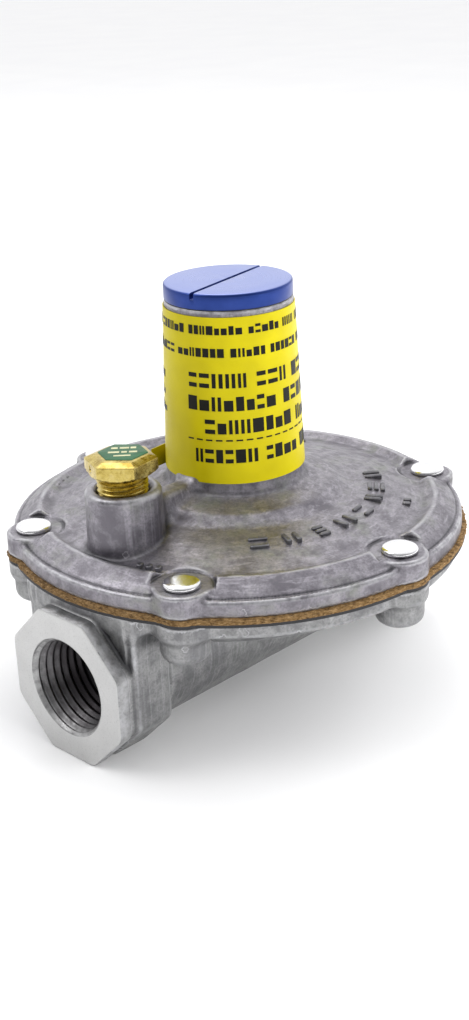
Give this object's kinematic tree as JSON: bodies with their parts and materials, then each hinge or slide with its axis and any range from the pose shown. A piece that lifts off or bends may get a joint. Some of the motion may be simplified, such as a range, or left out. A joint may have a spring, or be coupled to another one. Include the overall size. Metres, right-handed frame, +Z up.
{
  "type": "gas line pressure regulator",
  "caption": "Lever-acting gas line pressure regulator: riveted diaphragm case on a straight threaded pipe body, spring stack with screw cap, and side vent limiter.",
  "frame": {"origin": "on the stack axis, level with the lower flats of the two port hubs", "axes": "+X from the inlet to the outlet along the pipe axis, +Z up the spring stack, +Y to the left of the flow"},
  "size_m": [0.1, 0.0982, 0.087],
  "materials": {
    "casting": "as die cast, satin with machined port faces",
    "casting_dark": "as die cast, satin, slightly darker",
    "gasket": "brown vegetable fibre gasket board",
    "diaphragm_rubber": "fabric-backed nitrile rubber",
    "plated_steel": "zinc plated stampings",
    "brass": "turned, bright",
    "spring_steel": "drawn wire",
    "turned_aluminium": "turned",
    "blue_anodised": "blue anodised, bright edge",
    "seal_rubber": "moulded nitrile",
    "yellow_label": "glossy printed film",
    "rivet_metal": "polished rivet heads",
    "ball_steel": "polished ball",
    "green_tag": "printed film"
  },
  "bodies": {
    "regulator_body": {"valve_body": "casting", "upper_housing": "casting_dark", "flange_gasket": "gasket", "diaphragm": "diaphragm_rubber", "stack_label": "yellow_label", "case_rivets": "rivet_metal", "vent_limiter_body": "brass", "vent_ball_seat": "brass", "vent_tag": "green_tag", "orifice_seat": "brass", "valve_guide": "brass", "lever_pin": "plated_steel"},
    "diaphragm_assembly": {"upper_diaphragm_plate": "plated_steel", "lower_diaphragm_plate": "plated_steel", "diaphragm_stem": "brass", "stem_nut": "plated_steel", "regulating_spring": "spring_steel"},
    "lever": {"valve_lever": "plated_steel"},
    "valve_plunger": {"disc_holder": "turned_aluminium", "valve_disc": "seal_rubber"},
    "spring_seat": {"spring_seat": "plated_steel"},
    "adjusting_screw": {"adjusting_screw": "turned_aluminium"},
    "cap_seal": {"cap_seal": "seal_rubber"},
    "seal_cap": {"seal_cap": "blue_anodised"},
    "vent_ball": {"vent_ball": "ball_steel"}
  },
  "joints": [
    {"name": "diaphragm_travel", "type": "slide", "parent": "regulator_body", "child": "diaphragm_assembly", "axis": [0, 0, 1], "range_m": [0, 0.0039], "stiffness_N_per_m": 400, "springref_m": -0.01, "deforming": ["regulating_spring", "diaphragm"]},
    {"name": "lever_swing", "type": "hinge", "parent": "regulator_body", "child": "lever", "pos_m": [0.014, 0, 0.023], "axis": [0, 1, 0], "range_deg": [0, 15.96]},
    {"name": "valve_lift", "type": "slide", "parent": "regulator_body", "child": "valve_plunger", "axis": [-1, 0, 0], "range_m": [0, 0.00156]},
    {"name": "screw_turn", "type": "hinge", "parent": "spring_seat", "child": "adjusting_screw", "pos_m": [0, 0, 0.0718], "axis": [0, 0, 1], "range_deg": [-1920, 960]},
    {"name": "screw_travel", "type": "slide", "parent": "regulator_body", "child": "spring_seat", "axis": [0, 0, 1], "range_m": [-0.008, 0.004], "deforming": ["regulating_spring"]},
    {"name": "cap_turn", "type": "hinge", "parent": "cap_seal", "child": "seal_cap", "pos_m": [0, 0, 0.0837], "axis": [0, 0, 1], "range_deg": [0, 1440]},
    {"name": "cap_lift", "type": "slide", "parent": "regulator_body", "child": "cap_seal", "axis": [0, 0, 1], "range_m": [0, 0.006]},
    {"name": "vent_ball_lift", "type": "slide", "parent": "regulator_body", "child": "vent_ball", "axis": [0, 0, 1], "range_m": [0, 0.0012]}
  ],
  "couplings": [
    {"joint": "lever_swing", "follows": "diaphragm_travel", "rad_per_m": 71.429},
    {"joint": "valve_lift", "follows": "diaphragm_travel", "ratio": 0.4},
    {"joint": "screw_travel", "follows": "screw_turn", "m_per_rad": 0.00023873},
    {"joint": "cap_lift", "follows": "cap_turn", "m_per_rad": 0.00023873}
  ]
}
